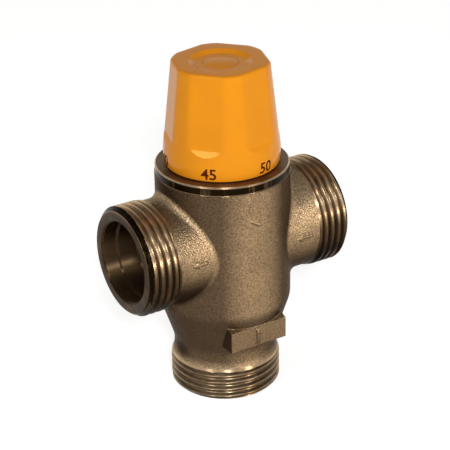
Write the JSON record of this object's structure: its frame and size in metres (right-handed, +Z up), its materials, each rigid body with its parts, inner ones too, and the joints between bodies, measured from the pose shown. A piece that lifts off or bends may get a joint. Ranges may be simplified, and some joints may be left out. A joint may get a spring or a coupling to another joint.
{
  "type": "temperature diverter valve",
  "caption": "Temperature diverter valve in cast brass with male pipe ends, a wax-driven shutter inside and a hexagonal plastic setting cap.",
  "frame": {"origin": "centre of the bottom port's end face, on the valve's axis", "axes": "+Z up the valve's axis towards the cap; +X along the run towards the right-hand port; -Y towards the front wrench pad"},
  "size_m": [0.0696, 0.0402, 0.1042],
  "materials": {
    "cast_brass": "nickel-toned, shot-blasted cast skin with turned port ends and rim",
    "turned_brass": "bright turned",
    "cap_plastic": "smooth moulded, satin gloss",
    "seal_rubber": "matt",
    "stainless_steel": "bright drawn",
    "shutter_plastic": "moulded, fine matt",
    "bearing_plastic": "smooth waxy",
    "element_copper": "satin drawn copper alloy"
  },
  "bodies": {
    "root": {"valve_body": "cast_brass", "bonnet": "turned_brass", "bonnet_o_ring": "seal_rubber", "shutter_seal": "seal_rubber", "spring_guide": "shutter_plastic"},
    "knob": {"setting_cap": "cap_plastic", "cap_plug": "cap_plastic", "cap_screw": "stainless_steel", "screw_washer": "stainless_steel", "spindle": "turned_brass", "lower_stem_o_ring": "seal_rubber", "upper_stem_o_ring": "seal_rubber", "stem_clip": "stainless_steel", "thrust_washer": "bearing_plastic"},
    "carriage": {"carriage": "turned_brass", "cup_ring": "stainless_steel", "overtravel_spring": "stainless_steel"},
    "overtravel_cup": {"overtravel_cup": "turned_brass", "element_piston": "stainless_steel"},
    "shutter_group": {"shutter": "shutter_plastic", "wax_element": "element_copper", "element_clip": "stainless_steel", "return_spring": "stainless_steel"}
  },
  "joints": [
    {"name": "cap_turn", "type": "hinge", "parent": "root", "child": "knob", "pos_m": [0, 0, 0.09], "axis": [0, 0, 1], "range_deg": [-180, 180]},
    {"name": "carriage_lift", "type": "slide", "parent": "root", "child": "carriage", "axis": [0, 0, 1], "range_m": [-0.00125, 0.00125]},
    {"name": "cup_overtravel", "type": "slide", "parent": "carriage", "child": "overtravel_cup", "axis": [0, 0, 1], "range_m": [0, 0.002], "stiffness_N_per_m": 2000, "springref_m": -0.002, "deforming": ["overtravel_spring"]},
    {"name": "shutter_stroke", "type": "slide", "parent": "root", "child": "shutter_group", "axis": [0, 0, -1], "range_m": [0, 0.004], "stiffness_N_per_m": 800, "springref_m": -0.005, "deforming": ["return_spring"]}
  ],
  "couplings": [
    {"joint": "cap_turn", "follows": "carriage_lift", "rad_per_m": -2513.3}
  ]
}
